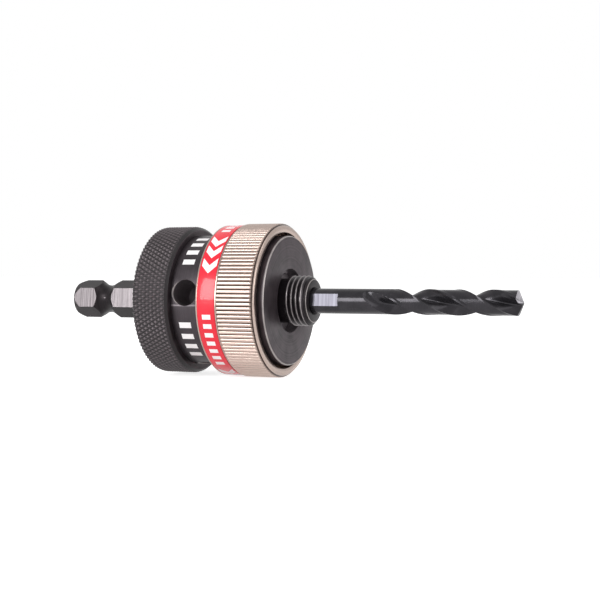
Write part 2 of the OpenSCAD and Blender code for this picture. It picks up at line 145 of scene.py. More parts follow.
def wrap(rings, closed_loop=False, start=None, end=None):
    """Points and faces of a skin over rings of points. Start and end are points that cap it."""
    count = len(rings[0])
    points = [p for ring in rings for p in ring]
    faces = []
    pairs = [(i, i + 1) for i in range(len(rings) - 1)]
    if closed_loop:
        pairs.append((len(rings) - 1, 0))
    for a, b in pairs:
        for k in range(count):
            n = (k + 1) % count
            faces.append([a * count + k, a * count + n, b * count + n, b * count + k])
    for cap, ring in ((start, 0), (end, len(rings) - 1)):
        if cap is not None:
            points.append(cap)
            for k in range(count):
                faces.append([len(points) - 1, ring * count + (k + 1) % count, ring * count + k])
    return points, faces


def soften(outline, radius, steps=3):
    """The outline with each corner cut back and rounded, as a deburred edge is."""
    out = []
    for i, p in enumerate(outline):
        p = Vector(p)
        before = Vector(outline[i - 1]) - p
        after = Vector(outline[(i + 1) % len(outline)]) - p
        cut = min(radius, before.length * 0.4, after.length * 0.4)
        a = p + before.normalized() * cut
        b = p + after.normalized() * cut
        for s in range(steps + 1):
            t = s / steps
            out.append(tuple(a * (1 - t) ** 2 + p * 2 * t * (1 - t) + b * t ** 2))
    return out


def turned(name, outline, body, material, segments=192, edge=0.08, crease=35):
    """A closed outline of (x, radius) points turned about the axis."""
    rings = [circle(x, r, segments) for x, r in soften(outline, edge)]
    points, faces = wrap(rings, closed_loop=True)
    return piece(name, points, faces, body, material, crease)


def steps_between(low, high, count):
    """Evenly spaced values from low to high, both included."""
    return [low + (high - low) * i / count for i in range(count + 1)]


print("mesh helpers ready")

# %% [markdown]
# ## Finishes
# Black oxide is a thin conversion coat on steel: the metal stays metal, only dark and a little
# warm, with the lathe's fine feed lines still in it. Colours are written as sRGB hex, and
# `linear` turns them into the values that the shader wants. A metal's colour is what it mirrors,
# so `metallic` is 1 for the plated and ground steel, and below that for the oxide, which scatters.
# `add_node` adds one shader node with its settings and links. `per_metre` turns the real size of
# a mark into the scale of a noise. `ramp` is the step from one colour to another.

# %% Helper for materials


def linear(hex_code):
    """An sRGB hex colour as linear RGBA."""
    parts = [int(hex_code[i : i + 2], 16) / 255 for i in (1, 3, 5)]
    return [c / 12.92 if c <= 0.04045 else ((c + 0.055) / 1.055) ** 2.4 for c in parts] + [1]


def add_node(tree, kind, settings=None, **links):
    """One node with its settings and its input links. A key is a property or a socket's name."""
    node = tree.nodes.new(kind)
    for key, value in (settings or {}).items():
        if hasattr(node, key):
            setattr(node, key, value)
        else:
            node.inputs[key].default_value = value
    for socket, source in links.items():
        tree.links.new(source, node.inputs[int(socket[1:]) if socket[1:].isdigit() else socket])
    return node


def new_material(name, **settings):
    """A material and its Principled shader, with constants set on the shader's own sockets."""
    material = bpy.data.materials.new(name)
    material.use_nodes = True
    tree = material.node_tree
    shader = tree.nodes["Principled BSDF"]
    for socket, value in settings.items():
        shader.inputs[socket.replace("_", " ")].default_value = value
    return material, tree, shader


def join(tree, source, node, socket):
    tree.links.new(source, node.inputs[socket])


def per_metre(size_mm):
    """How many marks of this size fit in a metre."""
    return 1 / (size_mm * MM)


def ramp(tree, factor, stops, shader):
    """The base colour goes from one hex colour to another between two values of a factor."""
    tint = add_node(tree, "ShaderNodeValToRGB", Fac=factor)
    for element, (position, colour) in zip(tint.color_ramp.elements, stops):
        element.position = position
        element.color = linear(colour)
    join(tree, tint.outputs["Color"], shader, "Base Color")


print("material helpers ready")

# %% [markdown]
# Turned faces carry rings at the lathe's feed, here about a quarter of a millimetre, which is as
# fine as the picture can show. The same helper gives rings along the axis on a cylinder and
# rings by radius on a face, because it measures both. The tint is mottled in clouds of 4 mm.
#
# One coat looks different by what is under it: near black on the ground shank, duller and, as
# painted light, greyer in bores and recesses, brushed round the axis on the faced plate, and pale
# on edges, partly rubbed and partly a painted highlight.

# %% Turned black oxide


def axis_distance(tree):
    """Distance from the axis and place along it, in metres, as two outputs."""
    place = add_node(tree, "ShaderNodeTexCoord")
    split = add_node(tree, "ShaderNodeSeparateXYZ", Vector=place.outputs["Object"])
    flat = add_node(
        tree, "ShaderNodeCombineXYZ", Y=split.outputs["Y"], Z=split.outputs["Z"]
    )
    length = add_node(
        tree, "ShaderNodeVectorMath", {"operation": "LENGTH"}, _0=flat.outputs["Vector"]
    )
    return length.outputs["Value"], split.outputs["X"]


def black_oxide(name, base, light, feed_mm=0.25, roughness=0.42, specular=0.3):
    """Oxide over turned steel: feed rings and a mottled tint. Lighter colours give the pale edges,
    partly rubbed and partly a painted highlight.
    """
    material, tree, shader = new_material(
        name, Metallic=0.55, Roughness=roughness, Specular_IOR_Level=specular
    )
    radius, along = axis_distance(tree)
    both = add_node(tree, "ShaderNodeMath", {"operation": "ADD"}, _0=radius, _1=along)
    rings = add_node(tree, "ShaderNodeMath", {"operation": "MULTIPLY"}, _0=both.outputs[0])
    rings.inputs[1].default_value = per_metre(feed_mm)
    place = add_node(tree, "ShaderNodeTexCoord")
    grain = add_node(
        tree, "ShaderNodeTexNoise", {"noise_dimensions": "1D", "Scale": 1.0, "Detail": 2.0},
        W=rings.outputs[0],
    )
    cloud = add_node(
        tree, "ShaderNodeTexNoise", {"Scale": per_metre(3.85), "Detail": 3.0},
        Vector=place.outputs["Object"],
    )
    blend = add_node(tree, "ShaderNodeMath", {"operation": "MULTIPLY_ADD"}, _0=grain.outputs[0],
                     _2=cloud.outputs[0])
    blend.inputs[1].default_value = 0.6
    ramp(tree, blend.outputs[0], [(0.45, base), (1.0, light)], shader)
    bump = add_node(tree, "ShaderNodeBump", {"Strength": 0.25, "Distance": 0.00002},
                    Height=grain.outputs[0])
    join(tree, bump.outputs["Normal"], shader, "Normal")
    return material


oxide = black_oxide("black_oxide_turned_steel", "#2c272a", "#413b3f")
# pale edges: partly rubbed, partly a painted highlight
edge_wear_and_highlight = black_oxide("black_oxide_edge_wear_and_highlight", "#6d6869", "#98918f", roughness=0.35)
oxide_shank = black_oxide("black_oxide_ground_hex", "#1a1719", "#2b2729",
                          feed_mm=0.3, roughness=0.38, specular=0.12)
oxide_plate = black_oxide("black_oxide_faced_steel", "#272225", "#4a4246",
                          feed_mm=0.4, roughness=0.36, specular=0.15)
# painted light: a lighter oxide for bores and recesses stands in for light reaching into their
# shade
oxide_recess_painted_light = black_oxide("black_oxide_recess_painted_light", "#5b5558", "#7a7377",
                            feed_mm=0.4, roughness=0.45)
plate_tree = oxide_plate.node_tree
turning = add_node(plate_tree, "ShaderNodeTangent", {"direction_type": "RADIAL", "axis": "X"})
plate_shader = plate_tree.nodes["Principled BSDF"]
plate_shader.inputs["Anisotropic"].default_value = 0.7
join(plate_tree, turning.outputs["Tangent"], plate_shader, "Tangent")
print("oxide finishes ready")

# %% [markdown]
# A knurl is darker in its grooves, partly from oxide, oil and dust that stay there and partly as
# painted shade, and paler on its worn peaks.
# The distance from the axis says which is which, so one helper serves both knurls and the
# thread, whose crests alone are rubbed.

# %% Worn knurls with painted shade in the grooves


def knurl_dirt_and_shade(name, root_mm, peak_mm, dark, light, metallic, roughness, shares=(0.1, 0.9)):
    """A finish that goes from a dark colour in the grooves, dirt and painted shade, to a paler one
    on the worn peaks, by the shares of a ridge's height at which the change starts and is
    complete. It is uneven over 1 mm."""
    material, tree, shader = new_material(name, Metallic=metallic, Roughness=roughness)
    radius, _ = axis_distance(tree)
    place = add_node(tree, "ShaderNodeTexCoord")
    wear = add_node(tree, "ShaderNodeTexNoise", {"Scale": per_metre(1.11), "Detail": 3.0},
                    Vector=place.outputs["Object"])
    height = add_node(
        tree, "ShaderNodeMapRange",
        {"From Min": root_mm * MM, "From Max": peak_mm * MM, "To Min": -0.15, "To Max": 0.85},
        Value=radius,
    )
    blend = add_node(tree, "ShaderNodeMath", {"operation": "MULTIPLY_ADD"},
                     _0=wear.outputs[0], _2=height.outputs[0])
    blend.inputs[1].default_value = 0.3
    # painted shade: the dark groove colour stands partly for the shade that falls in the grooves
    # and partly for dirt
    ramp(tree, blend.outputs[0], list(zip(shares, (dark, light))), shader)
    return material


oxide_knurl = knurl_dirt_and_shade("black_oxide_rolled_knurl", grip_r - grip_knurl, grip_r,
                         "#1f1b1d", "#5a5255", metallic=0.55, roughness=0.38)
oxide_thread = knurl_dirt_and_shade("black_oxide_worn_thread", thread_r - thread_depth, thread_r,
                          "#262124", "#8b8485", metallic=0.6, roughness=0.34,
                          shares=(0.72, 1.0))
# painted shade: the plated knurl's grooves are dark brown for the shade in them
nickel_knurl = knurl_dirt_and_shade("satin_nickel_knurl", collar_r - ridge_height, collar_r,
                          "#382d2a", "#b4a299", metallic=1.0, roughness=0.34)
print("knurl finishes ready")

# %% [markdown]
# One flat of the shank and the flat of the drill are ground after the black oxide, so they are
# bare steel with the wheel's scratches running across them. The scratches are noise stretched
# across the axis and about 0.3 mm apart. Balls and pins are harder and brighter, and ground
# finer. The drill's point takes the same bright steel on its upper facets only, as a painted
# highlight.

# %% Ground steel


def ground_steel(name, dark, light, spacing_mm=0.3, length_mm=16.7, roughness=0.33):
    """Bare steel with the scratches of a grinding wheel across it."""
    material, tree, shader = new_material(name, Metallic=1.0, Roughness=roughness)
    place = add_node(tree, "ShaderNodeTexCoord")
    stretch = add_node(
        tree, "ShaderNodeMapping", {"Scale": (per_metre(spacing_mm), per_metre(length_mm),
                                              per_metre(length_mm))},
        Vector=place.outputs["Object"],
    )
    scratch = add_node(
        tree, "ShaderNodeTexNoise", {"Scale": 1.0, "Detail": 4.0, "Roughness": 0.65},
        Vector=stretch.outputs["Vector"],
    )
    ramp(tree, scratch.outputs[0], [(0.3, dark), (0.7, light)], shader)
    bump = add_node(tree, "ShaderNodeBump", {"Strength": 0.3, "Distance": 0.00002},
                    Height=scratch.outputs[0])
    join(tree, bump.outputs["Normal"], shader, "Normal")
    return material


ground = ground_steel("ground_bare_steel", "#484446", "#716c6e")
ground_flat = ground_steel("ground_drill_flat", "#3d3c42", "#626168")
hard_steel_and_point_highlight = ground_steel("ground_hard_steel_and_point_highlight", "#8d8a90", "#bdbac0", spacing_mm=0.15)
print("ground finishes ready")

# %% [markdown]
# Satin nickel plate is warmer than chrome. Its grain here is fine noise at about 0.2 mm, and the
# cage's brass is turned as finely. Enamel, print and rubber are cured smooth, so their one colour
# only drifts a little, over 6 mm, and the red has a thin clear coat on top.

# %% Satin nickel, red enamel and white print


def satin_metal(name, low, high):
    """A metal with a fine even grain, as plating or fine turning leaves it."""
    material, tree, shader = new_material(name, Metallic=1.0, Roughness=0.3)
    place = add_node(tree, "ShaderNodeTexCoord")
    grain = add_node(tree, "ShaderNodeTexNoise", {"Scale": per_metre(0.2), "Detail": 2.0},
                     Vector=place.outputs["Object"])
    ramp(tree, grain.outputs[0], [(0.3, low), (0.7, high)], shader)
    bump = add_node(tree, "ShaderNodeBump", {"Strength": 0.15, "Distance": 0.00002},
                    Height=grain.outputs[0])
    join(tree, bump.outputs["Normal"], shader, "Normal")
    return material


def smooth_cured(name, low, high, roughness, coat, specular=0.5):
    """Ink, enamel or rubber that was cured smooth: one colour that drifts a little."""
    material, tree, shader = new_material(
        name, Roughness=roughness, Coat_Weight=coat, Coat_Roughness=0.08, IOR=1.5,
        Specular_IOR_Level=specular
    )
    place = add_node(tree, "ShaderNodeTexCoord")
    drift = add_node(tree, "ShaderNodeTexNoise", {"Scale": per_metre(5.55), "Detail": 2.0},
                     Vector=place.outputs["Object"])
    ramp(tree, drift.outputs[0], [(0.3, low), (0.7, high)], shader)
    return material


nickel = satin_metal("satin_nickel_plate", "#998880", "#b7a69d")
brass = satin_metal("turned_brass", "#a5813e", "#c09a52")
drill_oxide = black_oxide("steam_oxide_drill_steel", "#1f1e21", "#343236",
                          feed_mm=0.15, roughness=0.18)
red = smooth_cured("gloss_red_enamel", "#d8142c", "#e61c34",
                   roughness=0.3, coat=0.4, specular=0.2)
white = smooth_cured("white_pad_print", "#ece8ea", "#f8f6f6", roughness=0.45, coat=0.0)
rubber = smooth_cured("moulded_nitrile", "#141414", "#1c1b1b", roughness=0.6, coat=0.0)
print("plate and ink ready")

# %% [markdown]
# ## Hex shank
# A hex bar is a radius that changes with angle: flat distance over the cosine from the flat's
# middle. The end chamfer and the detent groove are turned, so each only limits that radius. The
# least of the three is the real surface. The near flat is ground bright, so its faces take the
# bare steel.

# %% Hex shank


def hex_radius(angle, flats, tilt):
    """Radius of a hexagon at an angle, with one flat facing the tilt angle."""
    from_flat = (angle - tilt + 30) % 60 - 30
    return flats / 2 / math.cos(math.radians(from_flat))


def shank_limit(x, flats):
    """Greatest radius that the end chamfer and the detent groove leave at x."""
    corner = flats / math.sqrt(3)
    chamfer = 1.7
    end_r = flats / 2 * 0.985
    from_end = x - shank_end
    limit = min(corner, end_r + (corner - end_r) * from_end / chamfer)
    groove_from_end, groove_round, groove_depth = 9.3, 4.0, 0.74
    away = abs(from_end - groove_from_end)
    if away < groove_round:
        centre = flats / 2 - groove_depth + groove_round
        limit = min(limit, centre - math.sqrt(groove_round ** 2 - away ** 2))
    return limit


def hex_shank():
    flats = 8.73
    tilt = 5.7
    skin = 0.02
    back = grip_back + 1.2
    per_side = 40
    stations = steps_between(shank_end, shank_end + 2, 16)
    stations += steps_between(shank_end + 5.4, shank_end + 13.2, 90)
    stations += steps_between(shank_end + 14, back, 6)
    angles = [tilt + 30 + 60 * side + 60 * i / per_side
              for side in range(6) for i in range(per_side)]
    rings = [
        [
            (x, *at_angle(min(hex_radius(a, flats, tilt) - skin, shank_limit(x, flats)), a))
            for a in angles
        ]
        for x in stations
    ]
    points, faces = wrap(rings, start=(shank_end, 0, 0), end=(back, 0, 0))
    shank = piece("shank_hex", points, faces, "spindle_assembly", oxide_shank, crease=20)
    near = Vector((0, *at_angle(1, tilt)))
    paint(shank, [ground], lambda x, r, face: face.normal.dot(near) > 0.999)
    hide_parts("spindle")


hex_shank()

# %% [markdown]
# ## Flange, core and nose
# Behind the plate the spindle is a plain core. The nose has a real single-start thread:
# its radius at each angle and place comes from how far the point is from the ridge, which climbs
# 1.27 mm a turn, so the helix closes by itself. The oxide has rubbed off along the crests, and
# a plain undercut lets the saw's plate seat.

# %% Spindle core and threaded nose


def spindle_core():
    flange_r = 10.5
    flange_back = grip_back + 0.9
    flange_front = flange_back + 2.4
    core_front = -3.0
    outline = [(flange_back, 0.0), (flange_back, flange_r), (flange_front, flange_r),
               (flange_front, core_r), (core_front, core_r), (core_front, 0.0)]
    rings = [circle(x, max(r, 0.001), 128) for x, r in soften(outline, 0.15)]
    points, faces = wrap(rings)
    # painted light: the core, seen only down the plate's bore, takes the lighter recess oxide
    core = piece("spindle_core", points, faces, "spindle_assembly", oxide_recess_painted_light)


def thread_radius(x, angle, pitch):
    """Radius of a right-hand 60 degree thread: its height falls with the distance to a crest,
    given as a share of half the pitch, with a flat on the crest and one in the root."""
    first_crest = 1.5
    flat = 0.12
    turns = (x - first_crest) / pitch + angle / 360
    away = abs((turns + 0.5) % 1 - 0.5) * 2
    height = min(1, max(0, (1 - flat - away) / (1 - 2 * flat)))
    return thread_r - thread_depth * (1 - height)


def threaded_nose():
    pitch = 1.27
    around = 160
    back = -3.2
    chamfer = 0.95
    undercut, undercut_slope = 0.75, 0.35
    bore, bore_depth = drill_r + 0.05, 4
    mouth = 0.35
    worn = 0.1
    rings = []
    for x in steps_between(back, nose_face - worn, 150):
        lead_in = thread_r - chamfer * max(0, 1 - (nose_face - x) / chamfer)
        rise = min(1, max(0, (x - undercut) / undercut_slope))
        neck = thread_r - thread_depth * (1 - rise)
        rings.append([
            (x, *at_angle(min(thread_radius(x, a, pitch), lead_in, neck), a))
            for a in (360 * k / around for k in range(around))
        ])
    edge = thread_r - chamfer
    rings += [circle(x, r, around) for x, r in (
        (nose_face, edge - worn), (nose_face, bore + mouth), (nose_face - mouth, bore),
        (nose_face - bore_depth, bore))]
    points, faces = wrap(rings)
    nose = piece("threaded_nose", points, faces, "spindle_assembly", oxide_thread, crease=30)

    def finish(x, r, face):
        # painted highlight with wear: the nose's front edge ring takes the pale edge finish
        if x > nose_face - worn and r > edge - worn - 0.02:
            return 1
        return 2 if x > nose_face - chamfer or r < bore + 0.1 else 0

    paint(nose, [edge_wear_and_highlight, oxide_shank], finish)


spindle_core()
threaded_nose()

# %% [markdown]
# ## Hold collar
# The head carries a rolled diamond knurl. Rolling leaves a lattice of small pyramids: the
# distance to two families of grooves, which cross at 30 degrees to the axis, gives the height.
# The head and the band are one piece of steel, in two meshes that meet in the relief groove.

# %% Knurled head


def knurl_height(x, angle, radius, pitch, slant):
    """Height of a diamond knurl from 0 in a groove to 1 on a peak."""
    around = math.radians(angle) * radius
    count = round(2 * math.pi * radius / pitch)
    scale = count / (2 * math.pi * radius)
    drift = x * math.tan(math.radians(slant))
    left = (around + drift) * scale % 1
    right = (around - drift) * scale % 1
    return min(1 - abs(2 * left - 1), 1 - abs(2 * right - 1))


def knurled_head():
    pitch = 1.2
    slant = 30
    worn_flat = 1.15
    around = 1000
    chamfer = 0.85
    rounding = 0.7
    bore = 10.6
    rings = [circle(grip_back, r, around) for r in (bore, grip_r - rounding - grip_knurl)]
    for x in steps_between(grip_back + 0.02, grip_front - 0.02, 92):
        back = max(0, rounding - (x - grip_back))
        top = grip_r - rounding + math.sqrt(max(0, rounding ** 2 - back ** 2))
        front = max(0, chamfer - (grip_front - x))
        bevel = grip_r - grip_knurl * 0.2 - front if front > 0 else grip_r
        ring = []
        for k in range(around):
            angle = 360 * k / around
            height = min(1, knurl_height(x, angle, grip_r, pitch, slant) * worn_flat)
            ring.append((x, *at_angle(min(top - grip_knurl * (1 - height), bevel), angle)))
        rings.append(ring)
    rings += [circle(grip_front, r, around) for r in (grip_r - grip_knurl - chamfer, bore)]
    points, faces = wrap(rings, closed_loop=True)
    head = piece("knurled_head", points, faces, "spindle_assembly", oxide_knurl, crease=50)
    paint(head, [oxide_plate], lambda x, r, face: abs(face.normal.x) > 0.9)
    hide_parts("hold_collar")


knurled_head()

# %% [markdown]
# The band in front of the head is smooth and has four countersunk bar holes. Turned stock with
# cross holes is the one shape here that a formula of angle can't give, so the holes are cut with
# an exact boolean, which is what a drill press does. The near hole goes on down to the set screw.

# %% Band with bar holes


def hole_cutter(angle, deep):
    """A round cutter with a countersunk mouth, pointing out from the axis at an angle."""
    sink = mouth_r - hole_r
    clear = 0.6
    outer = 19.0
    around = 64
    outline = [(deep, 0.001), (deep, hole_r), (band_r - sink, hole_r),
               (band_r + clear, mouth_r + clear), (outer, mouth_r + clear), (outer, 0.001)]
    a = math.radians(angle)
    out = Vector((0, -math.cos(a), math.sin(a)))
    side = Vector((1, 0, 0))
    up = out.cross(side)
    rings = []
    for distance, r in outline:
        rings.append([
            tuple(Vector((hole_x, 0, 0)) + out * distance
                  + side * r * math.cos(2 * math.pi * k / around)
                  + up * r * math.sin(2 * math.pi * k / around))
            for k in range(around)
        ])
    return wrap(rings)


def smooth_band():
    bore = core_r + 0.02
    relief = 0.12
    back = grip_front - 0.3
    skirt_bore = 12.5
    skirt_floor = sleeve_front - 3.2
    outline = [(back, bore), (back, band_r - relief), (grip_front + relief, band_r - relief),
               (grip_front + relief, band_r), (sleeve_front, band_r), (sleeve_front, skirt_bore),
               (skirt_floor, skirt_bore), (skirt_floor, bore)]
    band = turned("hold_band", outline, "spindle_assembly", oxide, segments=256, edge=0.12)
    to_screw, blind = 7.0, band_r - 5.2
    for i in range(4):
        points, faces = hole_cutter(hole_angle + 90 * i, to_screw if i == 0 else blind)
        cutter = piece(f"cutter_{i}", points, faces, "spindle_assembly", oxide)
        cut = band.modifiers.new(f"hole_{i}", "BOOLEAN")
        cut.operation = "DIFFERENCE"
        cut.solver = "EXACT"
        cut.object = cutter
        bpy.context.view_layer.objects.active = band
        bpy.ops.object.modifier_apply(modifier=cut.name)
        bpy.data.objects.remove(cutter)
    band.data.set_sharp_from_angle(angle=math.radians(30))
    centre = Vector((hole_x, 0, 0))
    wall = hole_r + 0.03
    sink_from, wall_from = 10, 5

    def finish(x, r, face):
        for i in range(4):
            out = Vector((0, *at_angle(1, hole_angle + 90 * i)))
            place = Vector(face.center) / MM - centre
            along = place.dot(out)
            off = (place - out * along).length
            # painted highlight with wear: the countersunk mouths take the pale edge finish
            if along > sink_from and wall < off < mouth_r and face.normal.dot(out) < 0.9:
                return 1
            # painted light: the hole walls take the lighter recess oxide
            if along > wall_from and off <= wall:
                return 2
        return 0

    paint(band, [edge_wear_and_highlight, oxide_recess_painted_light], finish)


smooth_band()

# %% [markdown]
# ## Release collar
# The straight knurl is a formed ridge, broad on top, repeated 118 times round the collar. The
# height of a ridge is a power of the distance from its middle. At both ends the same ridge is cut
# by the lathe's chamfer, which leaves the scalloped line. The lip and the seat of the red band
# stand a little below the ridges.

# %% Nickel-plated release collar


def ridge_profile(angle, count):
    """Height of the straight knurl from 0 to 1: broad round crests, narrow roots."""
    phase = angle * count / 360 % 1
    return max(0.0, 1 - abs(2 * phase - 1) ** 3.2)


def release_collar():
    count = 118
    around = count * 12
    root = collar_r - ridge_height
    knurl_back = label_front + 0.35
    rim_face = collar_r - 0.75
    recess_r, recess_chamfer = 17.25, 0.15
    web_front, web_back, web_bore = -6.4, -8.9, 9.9
    bore = band_r + 0.06
    inner = [(rim, recess_r + recess_chamfer), (rim - recess_chamfer, recess_r),
             (web_front, recess_r), (web_front, web_bore), (web_back, web_bore),
             (web_back, bore), (collar_back, bore)]
    seat_r = label_r - 0.25
    outer = [(collar_back, label_r - 0.22), (collar_back + 0.18, label_r - 0.02),
             (label_back - 0.04, label_r - 0.02), (label_back, seat_r), (label_front, seat_r),
             (label_front + 0.02, root - 0.1), (knurl_back - 0.06, root - 0.1)]
    rings = [circle(x, r, around) for x, r in outer]
    stations = [knurl_back + d for d in (0, 0.1, 0.22, 0.36, 0.55)]
    stations += steps_between(knurl_back + 1.2, rim - 1.3, 6)
    stations += [rim - d for d in (1.0, 0.85, 0.7, 0.6, 0.5, 0.4, 0.3, 0.2, 0.12, 0.06)]
    for x in stations:
        limit = min(root + x - knurl_back, rim_face + (rim - x) * 0.85)
        ring = []
        for k in range(around):
            angle = 360 * k / around
            r = root + ridge_height * ridge_profile(angle, count)
            ring.append((x, *at_angle(min(r, limit), angle)))
        rings.append(ring)
    rings += [circle(x, r, around) for x, r in [(rim, rim_face - 0.05)] + inner]
    points, faces = wrap(rings, closed_loop=True)
    collar = piece("release_collar_plated", points, faces, "collar_assembly", nickel, crease=55)
    paint(collar, [nickel_knurl],
          lambda x, r, face: knurl_back < x < rim - 0.02 and r > root - 0.1)
    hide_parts("release_collar")


release_collar()

# %% [markdown]
# ## Red band and printed marks
# The red band is a thin enamelled ring in its turned seat. White marks are printed on it and on
# the black band: each is a thin shell that follows the surface, 0.02 mm proud. Arrow marks show
# the way to turn, and plain bars fill the rest of the band.

# %% Red band and marks


def printed(name, patches, radius, body, material, thickness=0.02, steps=8):
    """Printed patches on a cylinder. Corners are (x, angle) in millimetres and degrees."""
    points, faces = [], []
    side = steps + 1
    for corners in patches:
        base = len(points)
        for level in (0, thickness):
            for i in range(side):
                for j in range(side):
                    u, v = i / steps, j / steps
                    weights = ((1 - u) * (1 - v), u * (1 - v), u * v, (1 - u) * v)
                    x, angle = (sum(w * c[n] for w, c in zip(weights, corners)) for n in (0, 1))
                    points.append((x, *at_angle(radius + level, angle)))
        top = base + side * side
        for i in range(steps):
            for j in range(steps):
                k = i * side + j
                faces.append([top + k, top + k + 1, top + k + side + 1, top + k + side])
                faces.append([base + k, base + k + side, base + k + side + 1, base + k + 1])
        for i in range(steps):
            for a, b in ((i, i + 1), (steps * side + i, steps * side + i + 1),
                         (i * side, (i + 1) * side),
                         (i * side + steps, (i + 1) * side + steps)):
                faces.append([base + a, base + b, top + b, top + a])
    return piece(name, points, faces, body, material)


def chevron(x_low, x_high, tip, rise, stroke):
    """Two slanted strokes that meet in a point at the tip angle, on the middle line."""
    middle = (x_low + x_high) / 2
    end = tip + rise
    return [
        [(x_low, end), (middle, tip), (middle, tip + stroke), (x_low, end + stroke)],
        [(middle, tip), (x_high, end), (x_high, end + stroke), (middle, tip + stroke)],
    ]


def bar(x_low, x_high, angle_low, angle_high):
    """A straight bar between two places along the axis and two angles."""
    return [(x_low, angle_low), (x_high, angle_low), (x_high, angle_high), (x_low, angle_high)]


def red_band():
    low, high = label_r - 0.25, label_r - 0.02
    outline = [(label_back, low), (label_back, high), (label_front, high), (label_front, low)]
    band = turned("red_enamel_band", outline, "collar_assembly", red, segments=256, edge=0.05)
    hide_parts("release_band")
    tips, rise, stroke = (21.2, 33.7, 44.5), 6.0, 6.4
    first_bar, bar_step, bar_wide = -9.5, 7.1, 3.6
    marks = []
    for third in (0, 120, 240):
        for tip in tips:
            marks += chevron(label_back + 0.45, label_front - 0.35, tip + third, rise, stroke)
        for i in range(7):
            angle = first_bar - bar_step * i + third
            marks.append(bar(label_back + 1.3, label_back + 3.6, angle, angle - bar_wide))
    arrows = printed("release_marks", marks, high, "collar_assembly", white)


def hold_marks():
    low, high = hole_x - 2.0, hole_x + 1.3
    step, half_wide = 11, 2.6
    marks = []
    for quarter in range(4):
        for i in range(4):
            angle = hole_angle - 45 + 90 * quarter + step * (i - 1.5)
            marks.append(bar(low, high, angle - half_wide, angle + half_wide))
    bars = printed("hold_marks", marks, band_r, "spindle_assembly", white)


red_band()
hold_marks()

# %% [markdown]
# ## Seat plate
# The plate is faced on a lathe, so its rings run round the axis and catch the light in a fan. Two
# lugs in its bore slide in slots of the spindle, which keep it from turning.

# %% Pressure plate


def seat_plate():
    bore = core_r + 0.06
    chamfer = 0.3
    hub_r, hub_front = 9.75, -3.5
    outline = [(seat, bore), (seat, plate_r - chamfer), (seat - chamfer, plate_r),
               (hub_front, plate_r), (hub_front, hub_r), (plate_back, hub_r), (plate_back, bore)]
    plate = turned("seat_plate", outline, "plate_assembly", oxide_plate, segments=256, edge=0.05)

    def finish(x, r, face):
        # painted highlight with wear: the plate's front chamfer takes the pale edge finish
        if x > seat - chamfer and r > plate_r - chamfer:
            return 1
        # painted light: the plate's bore takes the lighter recess oxide
        return 2 if r < bore + 0.01 else 0

    paint(plate, [edge_wear_and_highlight, oxide_recess_painted_light], finish)
    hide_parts("pressure_plate")
    for side in (0, 180):
        lug = plate_lug(hole_angle + 90 + side)


def plate_lug(angle):
    """A rounded key inside the plate's bore, which slides in a slot of the spindle."""
    root, top, half_wide = 7.05, 8.6, 1.5
    back, front = -7.95, -2.05
    outline = [(root, -half_wide), (root, half_wide), (top, half_wide), (top, -half_wide)]
    a = math.radians(angle)
    out = Vector((0, -math.cos(a), math.sin(a)))
    across = Vector((1, 0, 0)).cross(out)
    rings = []
    for x in (back, front):
        rings.append([tuple(Vector((x, 0, 0)) + out * r + across * w)
                      for r, w in soften(outline, 0.15)])
    centre = out * 7.8
    points, faces = wrap(rings, start=tuple(centre + Vector((back, 0, 0))),
                         end=tuple(centre + Vector((front, 0, 0))))
    # painted light: the lugs in the bore take the lighter recess oxide
    return piece(f"plate_lug_{round(angle)}", points, faces, "plate_assembly", oxide_recess_painted_light)


seat_plate()

# %% [markdown]
# ## Pilot drill
# A twist drill's section is two lands and two flutes, each flute steep on one side and easy on
# the other. The section turns as it goes along, a full turn every 32 mm. Behind the flutes the
# section is a plain circle with one ground flat, and in the run-out the flutes grow shallow.

# %% Pilot drill
half_flute = 48
relief_end = 122
next_flute = 180 - half_flute


def drill_section(u):
    """Radius of the section at an angle from the middle of a flute, at full depth. The land is
    relieved up to relief_end, and the narrow margin after it has the full radius."""
    web = 0.24
    deepest = 0.45
    edge, edge_share = 0.9, 0.97
    land_share = 0.965
    t = (half_flute - u) / (2 * half_flute)
    if t >= 0:
        rise = (1 - t / deepest) ** 3 if t < deepest else ((t - deepest) / (1 - deepest)) ** 2
        return drill_r * (web + (1 - web) * rise * (1 if t < edge else edge_share))
    return drill_r * (land_share if u < relief_end else 1)


def pilot_drill():
    lead = 32.0
    neck_x = 32.65
    flute_start = 20.5
    runout = 9.0
    plain_end = flute_start - 0.5
    point = math.tan(math.radians(135 / 2))
    point_length = 2.2
    lip_fall = 0.3
    floor_rise = 0.78
    half = [-half_flute + 2 * half_flute * i / 40 for i in range(40)]
    half += steps_between(half_flute, relief_end, 14)
    half += [relief_end + margin for margin in (0.3, 3, 6, 9)]
    section = [(u, side) for side in (0, 180) for u in half]
    rows = 300
    rings = []
    for row in range(rows + 1):
        ring = []
        for u, side in section:
            full = drill_section(u)
            fall = lip_fall * (next_flute - u) / 180 * full / drill_r
            x_end = drill_tip - full / point - fall
            x = plain_end + (x_end - plain_end) * row / rows
            s = min(1, max(0, (x - flute_start) / runout))
            r = min(drill_r, full + drill_r * floor_rise * (1 - s) ** 2)
            a = math.radians(u + side + 90 + 360 * (x - neck_x) / lead)
            ring.append((x, r * math.cos(a), r * math.sin(a)))
        rings.append(ring)
    points, faces = wrap(rings, start=(plain_end, 0, 0), end=(drill_tip, 0, 0))
    drill = piece("twist_drill", points, faces, "spindle_assembly", drill_oxide, crease=28)
    # painted highlight: only the upper facets of the point take the bright steel
    paint(drill, [hard_steel_and_point_highlight], lambda x, r, face:
          x > drill_tip - point_length and face.normal.x > 0.25 and face.center.z > 0)
    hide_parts("pilot_drill")


